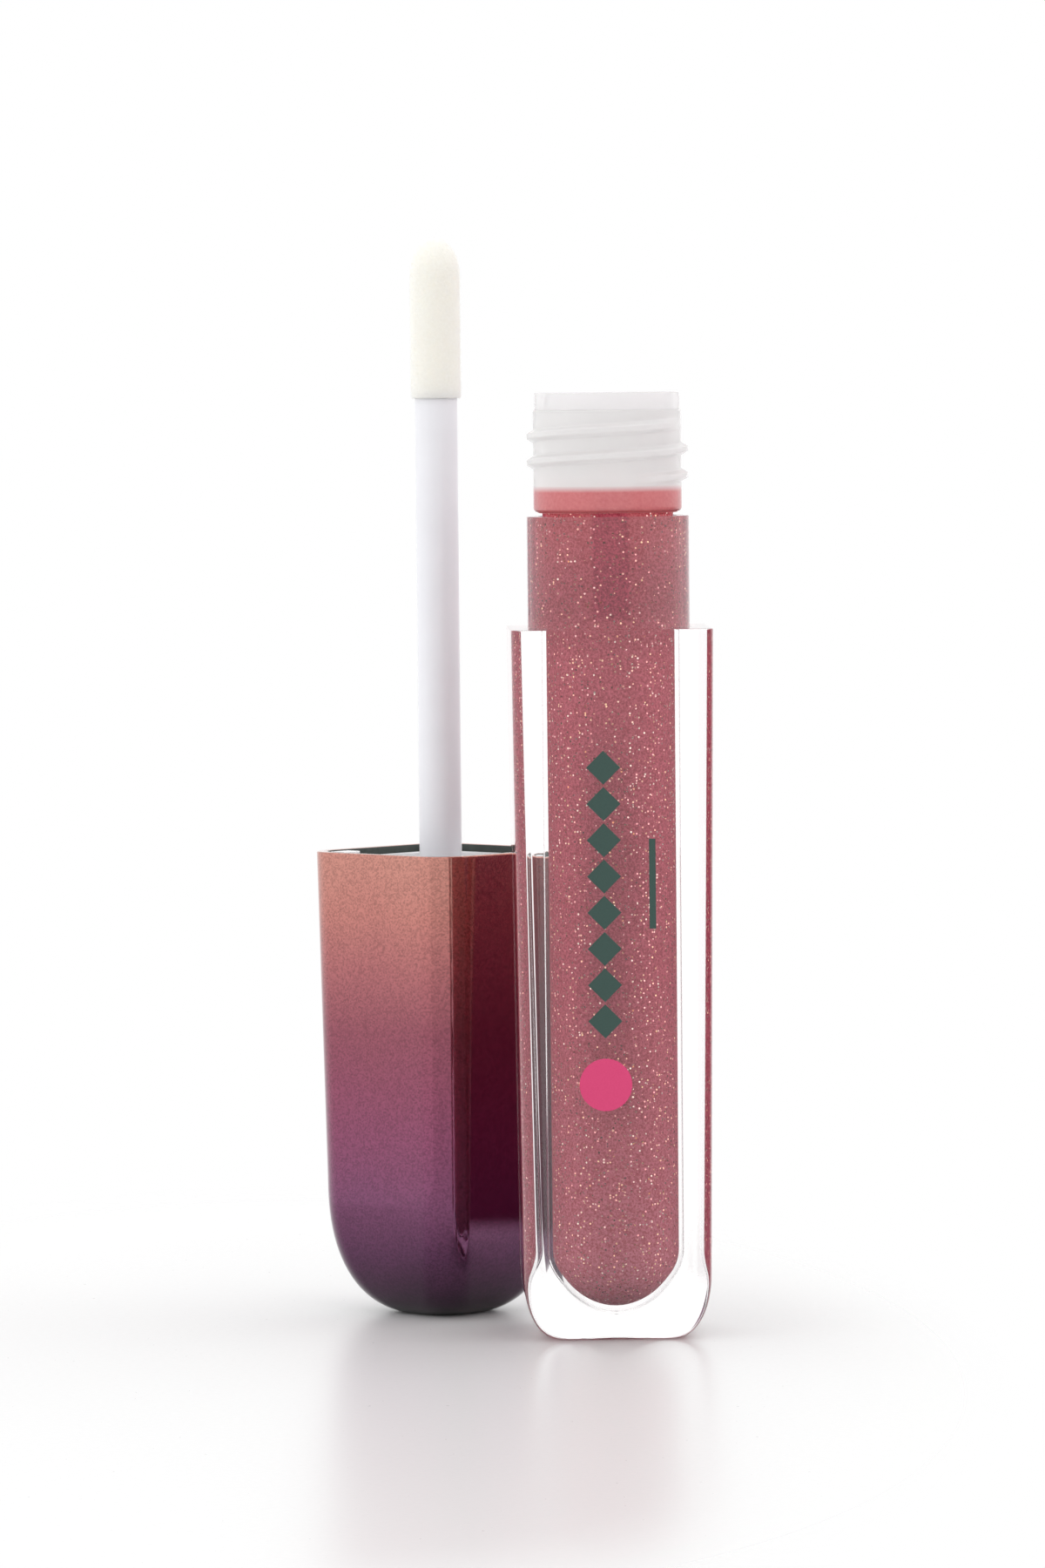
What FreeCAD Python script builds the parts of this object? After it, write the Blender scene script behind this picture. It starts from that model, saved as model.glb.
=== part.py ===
import FreeCAD, Part
import math
import os
import re

import Sketcher
from FreeCAD import Placement, Rotation, Vector

# A lip gloss tube that is open for use.  The bottle stands on its foot at the origin, and the cap
# stands upside down on its closed end beside it, with the wand pointing up.  The bottle's square
# sides lie along X and Y, its printed front faces -Y, and +Z is up.  Sizes are in millimetres.
#
# Bottle: inner_bottle (thin chamber and threaded neck), outer_body (thick clear wall moulded over
# it, with a round collar), wiper, gloss_fill, print_lozenges and print_dot.
# Cap: cap_shell, cap_insert (threaded), seal_ring, wand_stem, tip_core and tip_flock.

SIZES = [
    # the rounded square post that the bottle and the cap share
    ("post_width", 18.4, "across the flats at the shoulder and at the cap's mouth"),
    ("body_corner", 2.0, "corner radius of the bottle in plan"),
    ("cap_corner", 3.2, "corner radius of the cap in plan"),
    # outer body
    ("shoulder_height", 65.0, "foot to shoulder"),
    ("foot_width", 17.2, "across the flats where the foot starts to round in"),
    ("foot_height", 6.0, "height of the rounded foot"),
    ("foot_inset", 2.6, "how far the foot rounds in on each side"),
    ("foot_power", 2.0, "superellipse power of the foot, 2 is an ellipse"),
    ("collar_radius", 7.45, "round collar above the shoulder"),
    ("collar_height", 10.2, "shoulder to collar top"),
    # inner bottle
    ("chamber_floor", 3.4, "lowest point of the chamber"),
    ("dome_height", 4.6, "height of the chamber's domed end"),
    ("chamber_radius", 5.88, "chamber radius at the dome"),
    ("mouth_radius", 6.0, "chamber radius at the neck's mouth"),
    ("chamber_wall", 0.4, "wall of the chamber"),
    ("neck_radius", 6.8, "neck outside, at the thread's root"),
    ("neck_gap", 0.4, "gap between the collar's top and the neck"),
    ("neck_top", 84.9, "height of the neck's mouth"),
    ("neck_round", 0.35, "rounding of the neck's lower edge"),
    # screw thread, right-hand, one start
    ("thread_pitch", 2.4, "rise in one turn"),
    ("thread_crest", 7.4, "radius over the neck's thread"),
    ("thread_base", 1.15, "width of a ridge at its foot"),
    ("thread_tip", 0.45, "width of a ridge at its crest"),
    ("thread_level", 78.93, "height of the neck's ridge where it passes +X"),
    ("thread_start", -80.5, "angle where the neck's ridge starts, from +X"),
    ("thread_turns", 2.2, "turns on the neck"),
    # wiper
    ("flange_radius", 6.65, "wiper flange"),
    ("flange_height", 1.6, "wiper flange thickness"),
    ("sleeve_length", 5.9, "wiper sleeve in the neck"),
    ("sleeve_play", 0.02, "gap round that sleeve"),
    ("cup_radius", 5.2, "inside of the wiper's cup"),
    ("cup_depth", 6.5, "depth of the wiper's cup"),
    ("funnel_height", 2.4, "height of the wiper's funnel"),
    ("wiper_bore", 2.1, "radius of the wiper's bore"),
    ("wiper_wall", 0.7, "wall of the wiper's tube"),
    ("wiper_foot", 66.0, "height of the wiper's lower end"),
    # gloss
    ("gloss_level", 77.4, "height of the gloss in the neck"),
    # print on the front face
    ("print_thickness", 0.04, "foil thickness"),
    ("lozenge_radius", 1.55, "centre to point of a printed lozenge"),
    ("lozenge_pitch", 3.3, "lozenge spacing"),
    ("lozenge_offset", -1.0, "lozenge column, to the side of the face's middle"),
    ("lozenge_low", 29.4, "height of the lowest lozenge"),
    ("line_offset", 3.4, "thin line, to the side of the face's middle"),
    ("line_low", 37.8, "lower end of the thin line"),
    ("line_length", 8.2, "length of the thin line"),
    ("line_width", 0.6, "width of the thin line"),
    ("dot_radius", 2.4, "printed dot"),
    ("dot_level", 23.6, "height of the dot's middle"),
    # where the cap stands
    ("cap_across", -15.3, "cap axis, X"),
    ("cap_behind", 18.8, "cap axis, Y"),
    ("cap_yaw", 44.7, "turn of the cap about its axis"),
    ("cap_height", 43.6, "closed end to mouth"),
    ("closed_gap", 0.2, "gap between mouth and shoulder when closed"),
    # cap shell
    ("crown_width", 17.43, "across the flats where the closed end starts to round in"),
    ("crown_height", 13.0, "height of the rounded closed end"),
    ("crown_inset", 4.9, "how far the closed end rounds in on each side"),
    ("crown_power", 2.4, "superellipse power of the closed end"),
    ("cavity_width", 16.4, "inside of the shell"),
    ("cavity_corner", 2.4, "corner radius inside the shell"),
    ("ledge_height", 20.0, "height of the ledge that the insert rests on"),
    ("pocket_width", 13.0, "inside below the ledge"),
    ("pocket_floor", 5.2, "height of the pocket's floor"),
    # cap insert
    ("insert_play", 0.05, "gap between insert and shell"),
    ("insert_recess", 0.7, "insert face below the cap's rim"),
    ("insert_flange", 1.3, "thickness of the insert's face flange"),
    ("insert_radius", 8.1, "outside of the insert's tube"),
    ("collar_bore", 7.65, "bore that takes the bottle's collar"),
    ("collar_floor", 33.1, "height where that bore ends"),
    ("thread_bore", 7.55, "bore at the root of the inside thread"),
    ("inside_crest", 7.0, "radius at the crest of the inside thread"),
    ("inside_turns", 2.4, "turns inside the cap"),
    ("web_thickness", 1.3, "web that closes the insert's tube"),
    ("boss_radius", 3.6, "boss that holds the stem"),
    ("boss_floor", 9.4, "height of the boss's closed end"),
    ("rib_reach", 10.1, "corner ribs, centre to tip"),
    ("rib_thickness", 0.9, "corner rib thickness"),
    ("lug_inner", 5.0, "inner sides of the corner lugs"),
    ("lug_width", 2.35, "side of a corner lug"),
    ("lug_drop", 0.06, "lug top below the rim"),
    # seal ring
    ("ring_thickness", 0.9, "seal ring thickness"),
    ("ring_radius", 5.6, "seal ring outside"),
    ("ring_play", 0.05, "gap under and over the seal ring"),
    ("ring_bore_play", 0.08, "radial gap between the seal ring and the stem"),
    # wand
    ("stem_radius", 2.0, "wand stem"),
    ("stem_foot", 10.1, "height of the stem's lower end in its socket"),
    ("stem_top", 86.1, "height where the flocked tip starts"),
    ("bead_radius", 2.4, "bead that keeps the seal ring on the stem"),
    ("bead_height", 0.6, "height of that bead"),
    ("peg_radius", 1.15, "peg of the tip in the stem's end"),
    ("peg_length", 6.0, "length of the peg"),
    ("core_radius", 1.9, "core of the tip"),
    ("flock_thickness", 0.6, "flock over the core"),
    ("tip_length", 15.2, "length of the flocked tip"),
    ("tip_round", 4.0, "height of the tip's rounded end"),
    ("flock_round", 0.35, "rounding of the flock's lower edge"),
]

LOZENGES = 8
END_SECTIONS = 8
# the superellipse of a rounded end stops just short of level, so that the end stays flat
END_TURN = 80
THREAD_STEPS_PER_TURN = 20
THREAD_RUNOUT_TURNS = 0.16
# how near a level or a radius an edge is when it is found by it
NEAR = 0.01
# how far a thread ridge is rooted in its wall, and how thick it is where it has faded out
THREAD_ROOT = 0.2
THREAD_END = 0.08
# rough first size of a sketch, before its dimensions are bound
SKETCH_HALF = 8.0
SKETCH_CORNER = 2.0
# directions of the cap insert's corner ribs and of its lugs, about the cap's axis
RIB_TURNS = (45, 135, 225, 315)
LUG_TURNS = (90, 270)

doc = FreeCAD.newDocument("LipGlossTube")
sheet = doc.addObject("Spreadsheet::Sheet", "Sizes")
for row, (alias, value, meaning) in enumerate(SIZES, start=1):
    sheet.set(f"A{row}", alias)
    sheet.set(f"B{row}", str(value))
    sheet.set(f"C{row}", meaning)
    sheet.setAlias(f"B{row}", alias)
doc.recompute()


# ---------------------------------------------------------------- helpers


def size(alias):
    """The number in the sheet's cell of that name."""
    return float(sheet.get(alias))


def sized(text):
    """An expression in which each word with an underscore names a cell of the sheet."""
    return re.sub(r"\b[a-z]+(?:_[a-z]+)+\b", lambda word: "Sizes." + word.group(0), str(text))


def bind(item, **properties):
    """Bind properties to expressions; a double underscore in a name stands for a dot."""
    for name, text in properties.items():
        item.setExpression(name.replace("__", "."), sized(text))
    return item


def new_body(label):
    body = doc.addObject("PartDesign::Body", label)
    body.Label = label
    return body


def stand_as_cap(item):
    """Place an item of the cap, drawn about the cap's own axis, where the cap stands."""
    item.Placement = Placement(Vector(), Rotation(Vector(0, 0, 1), size("cap_yaw")))
    bind(item, Placement__Base__x="cap_across", Placement__Base__y="cap_behind",
         Placement__Rotation__Angle="cap_yaw")
    return item


def new_sketch(body, name, level):
    """An empty sketch in the body's XY plane, lifted to the level."""
    plane = [f for f in body.Origin.OriginFeatures if f.Role == "XY_Plane"][0]
    sketch = body.newObject("Sketcher::SketchObject", name)
    sketch.AttachmentSupport = [(plane, "")]
    sketch.MapMode = "FlatFace"
    bind(sketch, AttachmentOffset__Base__z=level)
    return sketch


def dimension(sketch, name, constraint, text):
    index = sketch.addConstraint(constraint)
    sketch.renameConstraint(index, name)
    sketch.setExpression("Constraints." + name, sized(text))


def rounded_square(body, name, level, width, corner):
    """A sketch of a square with round corners, centred on the body's axis."""
    sketch = new_sketch(body, name, level)
    radius = SKETCH_CORNER
    ends = SKETCH_HALF - radius
    corners = [(ends, -ends), (ends, ends), (-ends, ends), (-ends, -ends)]
    outward = [(0, -radius), (radius, 0), (0, radius), (-radius, 0)]
    lines = []
    for side in range(4):
        start = Vector(*corners[side - 1], 0) + Vector(*outward[side], 0)
        end = Vector(*corners[side], 0) + Vector(*outward[side], 0)
        lines.append(Part.LineSegment(start, end))
    arcs = []
    for side in range(4):
        circle = Part.Circle(Vector(*corners[side], 0), Vector(0, 0, 1), radius)
        first = math.radians(90 * side - 90)
        arcs.append(Part.ArcOfCircle(circle, first, first + math.pi / 2))
    sketch.addGeometry(lines + arcs, False)
    for side in range(4):
        sketch.addConstraint(Sketcher.Constraint("Tangent", side, 2, 4 + side, 1))
        sketch.addConstraint(Sketcher.Constraint("Tangent", 4 + side, 2, (side + 1) % 4, 1))
        direction = "Horizontal" if side % 2 == 0 else "Vertical"
        sketch.addConstraint(Sketcher.Constraint(direction, side))
    for side in range(1, 4):
        sketch.addConstraint(Sketcher.Constraint("Equal", 4, 4 + side))
    sketch.addConstraint(Sketcher.Constraint("Equal", 0, 1))
    sketch.addConstraint(Sketcher.Constraint("Symmetric", 4, 3, 6, 3, -1, 1))
    dimension(sketch, "across", Sketcher.Constraint("DistanceX", 3, 1, 1, 1, 2 * SKETCH_HALF), width)
    dimension(sketch, "corner", Sketcher.Constraint("Radius", 4, radius), corner)
    return sketch


def circle_sketch(body, name, level, radius):
    sketch = new_sketch(body, name, level)
    sketch.addGeometry(Part.Circle(Vector(), Vector(0, 0, 1), SKETCH_HALF), False)
    sketch.addConstraint(Sketcher.Constraint("Coincident", 0, 3, -1, 1))
    dimension(sketch, "radius", Sketcher.Constraint("Radius", 0, SKETCH_HALF), radius)
    return sketch


def pad(body, name, sketch, length):
    feature = body.newObject("PartDesign::Pad", name)
    feature.Profile = sketch
    bind(feature, Length=length)
    return feature


def pocket(body, name, sketch, depth):
    """Cut downwards from the sketch."""
    feature = body.newObject("PartDesign::Pocket", name)
    feature.Profile = sketch
    feature.Reversed = False
    bind(feature, Length=depth)
    return feature


def loft(body, name, sketches):
    feature = body.newObject("PartDesign::AdditiveLoft", name)
    feature.Profile = sketches[0]
    feature.Sections = sketches[1:]
    feature.Ruled = len(sketches) == 2
    return feature


def solid_of_revolution(body, kind, name, level, **properties):
    """A cylinder, cone or ellipsoid on the body's axis, added or taken away."""
    feature = body.newObject("PartDesign::" + kind, name)
    bind(feature, Placement__Base__z=level, **properties)
    return feature


def post(body, spring, spring_width, top, inset, power, corner):
    """A tapered rounded square post whose lower end rounds in along a superellipse.

    spring is the height where the rounding starts, and top is the height of the post's upper end.
    """
    waist = rounded_square(body, body.Label + "_waist", spring, spring_width, corner)
    upper = rounded_square(body, body.Label + "_upper", top, "post_width", corner)
    loft(body, body.Label + "_sides", [waist, upper])
    sections = [rounded_square(body, body.Label + "_spring", spring, spring_width, corner)]
    for step in range(1, END_SECTIONS + 1):
        turn = END_TURN * step / END_SECTIONS
        drop = f"(sin({turn}) / sin({END_TURN})) ^ (2 / {power})"
        draw = f"(1 - cos({turn}) ^ (2 / {power})) / (1 - cos({END_TURN}) ^ (2 / {power}))"
        level = f"{spring} * (1 - {drop})"
        width = f"{spring_width} - 2 * {inset} * {draw}"
        sections.append(rounded_square(body, f"{body.Label}_end_{step}", level, width, corner))
    loft(body, body.Label + "_rounded_end", sections)


def thread_ridge(name, turns, start, level_at_zero, root, crest, inward):
    """One helical ridge about Z that fades into its wall at both ends.

    It is lofted through trapezoids in planes through the axis.  root is the wall's radius, crest is
    the ridge's, and inward says that the ridge stands towards the axis.
    """
    side = -1 if inward else 1
    pitch = size("thread_pitch")
    steps = math.ceil(turns * THREAD_STEPS_PER_TURN)
    wires = []
    for step in range(steps + 1):
        turn = turns * step / steps
        fade = min(1.0, turn / THREAD_RUNOUT_TURNS, (turns - turn) / THREAD_RUNOUT_TURNS)
        fade = fade * fade * (3 - 2 * fade)
        angle = math.radians(start) + 2 * math.pi * turn
        level = level_at_zero + pitch * angle / (2 * math.pi)
        buried = root - side * THREAD_ROOT
        reach = buried + side * (abs(crest - buried) * fade + THREAD_END * (1 - fade))
        base = size("thread_base") / 2
        tip = size("thread_tip") / 2
        corners = []
        for radius, rise in ((buried, -base), (reach, -tip), (reach, tip), (buried, base)):
            corners.append(Vector(radius * math.cos(angle), radius * math.sin(angle), level + rise))
        wires.append(Part.makePolygon(corners + corners[:1]))
    ridge = doc.addObject("Part::Feature", name)
    ridge.Shape = Part.makeLoft(wires, True, False)
    return ridge


def fuse(label, base, tool):
    joined = doc.addObject("Part::Fuse", label)
    joined.Label = label
    joined.Base = base
    joined.Tool = tool
    return joined


def cut(label, base, tool):
    remaining = doc.addObject("Part::Cut", label)
    remaining.Label = label
    remaining.Base = base
    remaining.Tool = tool
    return remaining


# ---------------------------------------------------------------- bottle


def chamber_shape(body, prefix, wall, top):
    """The chamber's cone and domed end, grown by a wall and cut off at the top.

    prefix is Additive or Subtractive.
    """
    equator = "(chamber_floor + dome_height)"
    solid_of_revolution(
        body, prefix + "Cone", body.Label + "_chamber", equator,
        Radius1=f"chamber_radius + {wall}",
        Radius2=f"chamber_radius + {wall} + (mouth_radius - chamber_radius)"
                f" * ({top} - {equator}) / (neck_top - {equator})",
        Height=f"{top} - {equator}")
    dome = solid_of_revolution(
        body, prefix + "Ellipsoid", body.Label + "_dome", equator,
        Radius1=f"dome_height + {wall}", Radius2=f"chamber_radius + {wall}",
        Radius3=f"chamber_radius + {wall}")
    dome.Angle1 = -90
    dome.Angle2 = 0


def make_outer_body():
    body = new_body("outer_body")
    post(body, "foot_height", "foot_width", "shoulder_height", "foot_inset", "foot_power",
         "body_corner")
    pad(body, "collar", circle_sketch(body, "collar_ring", "shoulder_height", "collar_radius"),
        "collar_height")
    chamber_shape(body, "Subtractive", "chamber_wall", "(shoulder_height + collar_height)")
    return body


def make_inner_bottle():
    body = new_body("vial")
    chamber_shape(body, "Additive", "chamber_wall", "neck_top")
    neck_foot = "shoulder_height + collar_height + neck_gap"
    solid_of_revolution(body, "AdditiveCylinder", "neck", neck_foot,
                        Radius="neck_radius", Height=f"neck_top - ({neck_foot})")
    doc.recompute()
    neck = body.Tip
    foot_level = size("shoulder_height") + size("collar_height") + size("neck_gap")
    lower_edge = [f"Edge{i}" for i, edge in enumerate(neck.Shape.Edges, start=1)
                  if edge.BoundBox.ZMax < foot_level + NEAR
                  and abs(edge.BoundBox.ZMin - foot_level) < NEAR
                  and abs(edge.BoundBox.XMax - size("neck_radius")) < NEAR]
    rounding = body.newObject("PartDesign::Fillet", "neck_rounding")
    rounding.Base = (neck, lower_edge)
    bind(rounding, Radius="neck_round")
    chamber_shape(body, "Subtractive", "0", "neck_top")
    ridge = thread_ridge("neck_ridge", size("thread_turns"), size("thread_start"),
                         size("thread_level"), size("neck_radius"), size("thread_crest"), False)
    return fuse("inner_bottle", body, ridge)


def make_wiper():
    body = new_body("wiper")
    solid_of_revolution(body, "AdditiveCylinder", "wiper_flange", "neck_top",
                        Radius="flange_radius", Height="flange_height")
    solid_of_revolution(body, "AdditiveCylinder", "wiper_sleeve", "neck_top - sleeve_length",
                        Radius="mouth_radius - sleeve_play", Height="sleeve_length")
    cup_floor = "neck_top + flange_height - cup_depth"
    funnel_foot = f"{cup_floor} - funnel_height"
    solid_of_revolution(body, "AdditiveCone", "wiper_funnel", f"{funnel_foot} - wiper_wall",
                        Radius1="wiper_bore + wiper_wall", Radius2="cup_radius + wiper_wall",
                        Height="funnel_height + wiper_wall")
    solid_of_revolution(body, "AdditiveCylinder", "wiper_tube", "wiper_foot",
                        Radius="wiper_bore + wiper_wall", Height=f"{funnel_foot} - wiper_foot")
    solid_of_revolution(body, "SubtractiveCylinder", "wiper_cup", cup_floor,
                        Radius="cup_radius", Height="cup_depth")
    solid_of_revolution(body, "SubtractiveCone", "wiper_throat", funnel_foot,
                        Radius1="wiper_bore", Radius2="cup_radius", Height="funnel_height")
    solid_of_revolution(body, "SubtractiveCylinder", "wiper_orifice", "wiper_foot",
                        Radius="wiper_bore", Height=f"{funnel_foot} - wiper_foot")
    return body


def make_gloss_fill(wiper):
    """Gloss up to its level in the neck; the wand's last stroke left the wiper's bore empty."""
    body = new_body("gloss_column")
    chamber_shape(body, "Additive", "0", "gloss_level")
    solid_of_revolution(body, "SubtractiveCylinder", "gloss_bore", "wiper_foot",
                        Radius="wiper_bore", Height="gloss_level - wiper_foot")
    return cut("gloss_fill", body, wiper)


def lay_on_front(item):
    """Lay flat print, drawn in XY with Y up the face, on the bottle's sloping front face."""
    rise = size("shoulder_height") - size("foot_height")
    slope = math.degrees(math.atan2((size("post_width") - size("foot_width")) / 2, rise))
    item.Placement = Placement(Vector(0, -size("foot_width") / 2, size("foot_height")),
                               Rotation(Vector(1, 0, 0), 90 + slope))
    bind(item, Placement__Base__y="-foot_width / 2", Placement__Base__z="foot_height",
         Placement__Rotation__Angle="90 deg + atan((post_width - foot_width) / 2"
                                    " / (shoulder_height - foot_height))")
    return item


def make_print():
    pieces = []
    for place in range(LOZENGES):
        lozenge = doc.addObject("Part::Prism", f"lozenge_{place + 1}")
        lozenge.Polygon = 4
        bind(lozenge, Circumradius="lozenge_radius", Height="print_thickness",
             Placement__Base__x="lozenge_offset",
             Placement__Base__y=f"lozenge_low + {place} * lozenge_pitch - foot_height")
        pieces.append(lozenge)
    line = doc.addObject("Part::Box", "thin_line")
    bind(line, Length="line_width", Width="line_length", Height="print_thickness",
         Placement__Base__x="line_offset - line_width / 2",
         Placement__Base__y="line_low - foot_height")
    pieces.append(line)
    group = doc.addObject("Part::Compound", "print_lozenges")
    group.Label = "print_lozenges"
    group.Links = pieces
    dot = doc.addObject("Part::Cylinder", "dot_disc")
    bind(dot, Radius="dot_radius", Height="print_thickness", Placement__Base__x="lozenge_offset",
         Placement__Base__y="dot_level - foot_height")
    single = doc.addObject("Part::Compound", "print_dot")
    single.Label = "print_dot"
    single.Links = [dot]
    return [lay_on_front(group), lay_on_front(single)]


# ---------------------------------------------------------------- cap and wand


def make_cap_shell():
    body = new_body("cap_shell")
    post(body, "crown_height", "crown_width", "cap_height", "crown_inset", "crown_power",
         "cap_corner")
    mouth = rounded_square(body, "cavity_mouth", "cap_height", "cavity_width", "cavity_corner")
    pocket(body, "cavity", mouth, "cap_height - ledge_height")
    ledge = rounded_square(body, "pocket_mouth", "ledge_height", "pocket_width", "cavity_corner")
    pocket(body, "deep_pocket", ledge, "ledge_height - pocket_floor")
    return stand_as_cap(body)


def make_cap_insert():
    body = new_body("insert_core")
    face = "cap_height - insert_recess"
    web_top = "ledge_height + web_thickness"
    pad(body, "insert_tube", circle_sketch(body, "tube_ring", "ledge_height", "insert_radius"),
        f"{face} - ledge_height")
    pad(body, "insert_face",
        rounded_square(body, "face_outline", f"{face} - insert_flange",
                       "cavity_width - 2 * insert_play", "cavity_corner"), "insert_flange")
    pad(body, "boss", circle_sketch(body, "boss_ring", "boss_floor", "boss_radius"),
        "ledge_height - boss_floor")
    for turn in RIB_TURNS:
        rib = body.newObject("PartDesign::AdditiveBox", f"rib_{turn}")
        bind(rib, Length="rib_reach", Width="rib_thickness",
             Height=f"{face} - insert_flange - ledge_height",
             Placement__Base__x=f"rib_thickness / 2 * sin({turn})",
             Placement__Base__y=f"-rib_thickness / 2 * cos({turn})",
             Placement__Base__z="ledge_height")
        rib.Placement.Rotation = Rotation(Vector(0, 0, 1), turn)
    for turn in LUG_TURNS:
        lug = body.newObject("PartDesign::AdditiveBox", f"lug_{turn}")
        bind(lug, Length="lug_width", Width="lug_width", Height="insert_recess - lug_drop",
             Placement__Base__x=f"-lug_inner * sin({turn})",
             Placement__Base__y=f"lug_inner * sin({turn})", Placement__Base__z=face)
        lug.Placement.Rotation = Rotation(Vector(0, 0, 1), turn)
    pocket(body, "thread_bore_cut",
           circle_sketch(body, "thread_bore_ring", "cap_height", "thread_bore"),
           f"cap_height - ({web_top})")
    pocket(body, "collar_bore_cut",
           circle_sketch(body, "collar_bore_ring", "cap_height", "collar_bore"),
           "cap_height - collar_floor")
    pocket(body, "stem_socket", circle_sketch(body, "socket_ring", web_top, "stem_radius"),
           f"{web_top} - stem_foot")
    closed_height = size("shoulder_height") + size("closed_gap") + size("cap_height")
    # half a pitch from the neck's ridge when the cap is closed, and one whole pitch up inside
    level = closed_height - size("thread_level") - 1.5 * size("thread_pitch")
    ridge = thread_ridge("inside_ridge", size("inside_turns"), 0, level,
                         size("thread_bore"), size("inside_crest"), True)
    return stand_as_cap(fuse("cap_insert", body, ridge))


def make_seal_ring():
    body = new_body("seal_ring")
    level = "ledge_height + web_thickness + ring_play"
    solid_of_revolution(body, "AdditiveCylinder", "ring_disc", level,
                        Radius="ring_radius", Height="ring_thickness")
    solid_of_revolution(body, "SubtractiveCylinder", "ring_hole", level,
                        Radius="stem_radius + ring_bore_play", Height="ring_thickness")
    return stand_as_cap(body)


def make_wand_stem():
    body = new_body("wand_stem")
    solid_of_revolution(body, "AdditiveCylinder", "stem", "stem_foot",
                        Radius="stem_radius", Height="stem_top - stem_foot")
    bead_foot = "ledge_height + web_thickness + ring_thickness + 2 * ring_play"
    solid_of_revolution(body, "AdditiveCylinder", "bead", bead_foot,
                        Radius="bead_radius", Height="bead_height")
    solid_of_revolution(body, "SubtractiveCylinder", "peg_hole", "stem_top - peg_length",
                        Radius="peg_radius", Height="peg_length")
    return stand_as_cap(body)


def rounded_rod(body, kind, radius, foot, top):
    """A rod with a domed upper end, added or taken away."""
    solid_of_revolution(body, kind + "Cylinder", body.Label + "_rod", foot,
                        Radius=radius, Height=f"{top} - tip_round - ({foot})")
    dome = solid_of_revolution(body, kind + "Ellipsoid", body.Label + "_end",
                               f"{top} - tip_round", Radius1="tip_round", Radius2=radius,
                               Radius3=radius)
    dome.Angle1 = 0
    dome.Angle2 = 90


def make_tip_core():
    body = new_body("tip_core")
    rounded_rod(body, "Additive", "core_radius", "stem_top",
                "(stem_top + tip_length - flock_thickness)")
    solid_of_revolution(body, "AdditiveCylinder", "peg", "stem_top - peg_length",
                        Radius="peg_radius", Height="peg_length")
    return stand_as_cap(body)


def make_tip_flock():
    body = new_body("tip_flock")
    rounded_rod(body, "Additive", "core_radius + flock_thickness", "stem_top",
                "(stem_top + tip_length)")
    doc.recompute()
    rod = body.Tip
    lower_edge = [f"Edge{i}" for i, edge in enumerate(rod.Shape.Edges, start=1)
                  if edge.BoundBox.ZMax < size("stem_top") + NEAR]
    rounding = body.newObject("PartDesign::Fillet", "flock_rounding")
    rounding.Base = (rod, lower_edge)
    bind(rounding, Radius="flock_round")
    core = new_body("flock_core")
    rounded_rod(core, "Additive", "core_radius", "stem_top",
                "(stem_top + tip_length - flock_thickness)")
    layer = cut("flock_layer", body, core)
    body.Label = "flock_outside"
    layer.Label = "tip_flock"
    return stand_as_cap(layer)


# ---------------------------------------------------------------- build, check and write


def check_document():
    """Stop if any object failed to recompute."""
    for item in doc.Objects:
        if "Invalid" in item.State or "Error" in item.State:
            raise RuntimeError(f"{item.Name} did not recompute: {item.State}")


def write_parts(nodes):
    os.makedirs("parts", exist_ok=True)
    for node in nodes:
        shape = node.Shape
        if shape.isNull() or not shape.isValid():
            raise RuntimeError(f"{node.Label} has no valid shape")
        shape.exportStep(os.path.join("parts", node.Label + ".step"))
        box = shape.BoundBox
        print(f"{node.Label:16s} solids {len(shape.Solids)}  volume {shape.Volume:9.2f} mm3  "
              f"z {box.ZMin:7.2f} to {box.ZMax:7.2f}")


def main():
    wiper = make_wiper()
    nodes = [make_outer_body(), make_inner_bottle(), wiper, make_gloss_fill(wiper)]
    nodes += make_print()
    nodes += [make_cap_shell(), make_cap_insert(), make_seal_ring(), make_wand_stem(),
              make_tip_core(), make_tip_flock()]
    doc.recompute()
    check_document()
    write_parts(nodes)


main()
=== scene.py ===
import math

import bpy
import numpy as np
from mathutils import Matrix, Vector


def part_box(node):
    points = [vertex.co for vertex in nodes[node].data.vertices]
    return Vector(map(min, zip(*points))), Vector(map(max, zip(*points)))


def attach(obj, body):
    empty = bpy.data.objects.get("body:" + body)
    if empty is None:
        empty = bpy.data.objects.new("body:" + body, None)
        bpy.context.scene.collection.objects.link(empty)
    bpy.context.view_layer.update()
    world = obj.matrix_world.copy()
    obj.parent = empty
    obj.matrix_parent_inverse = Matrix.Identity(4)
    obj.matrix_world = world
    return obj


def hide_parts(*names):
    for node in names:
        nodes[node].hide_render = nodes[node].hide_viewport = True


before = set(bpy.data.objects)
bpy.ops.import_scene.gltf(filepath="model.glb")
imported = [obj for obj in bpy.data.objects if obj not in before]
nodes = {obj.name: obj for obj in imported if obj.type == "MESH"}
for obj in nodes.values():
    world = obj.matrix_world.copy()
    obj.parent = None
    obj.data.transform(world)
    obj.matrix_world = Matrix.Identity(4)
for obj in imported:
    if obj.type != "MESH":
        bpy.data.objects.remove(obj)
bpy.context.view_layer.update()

# An open lip gloss tube: a clear square bottle of pearly rose gloss, and its cap standing upside
# down behind it on the left, with the wand pointing up.  Shapes are in millimetres here and become
# metres when a mesh is made.  +Z is up and the bottle's printed front faces -Y.

MM = 0.001

# ---------------------------------------------------------------- sizes, as in the CAD model

POST_HALF = 9.2
BODY_CORNER = 2.0
CAP_CORNER = 3.2
SHOULDER = 65.0
FOOT_HALF = 8.6
FOOT_HEIGHT = 6.0
FOOT_INSET = 2.6
FOOT_POWER = 2.0
COLLAR_RADIUS = 7.45
COLLAR_TOP = 75.2
EDGE = 0.12
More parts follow.
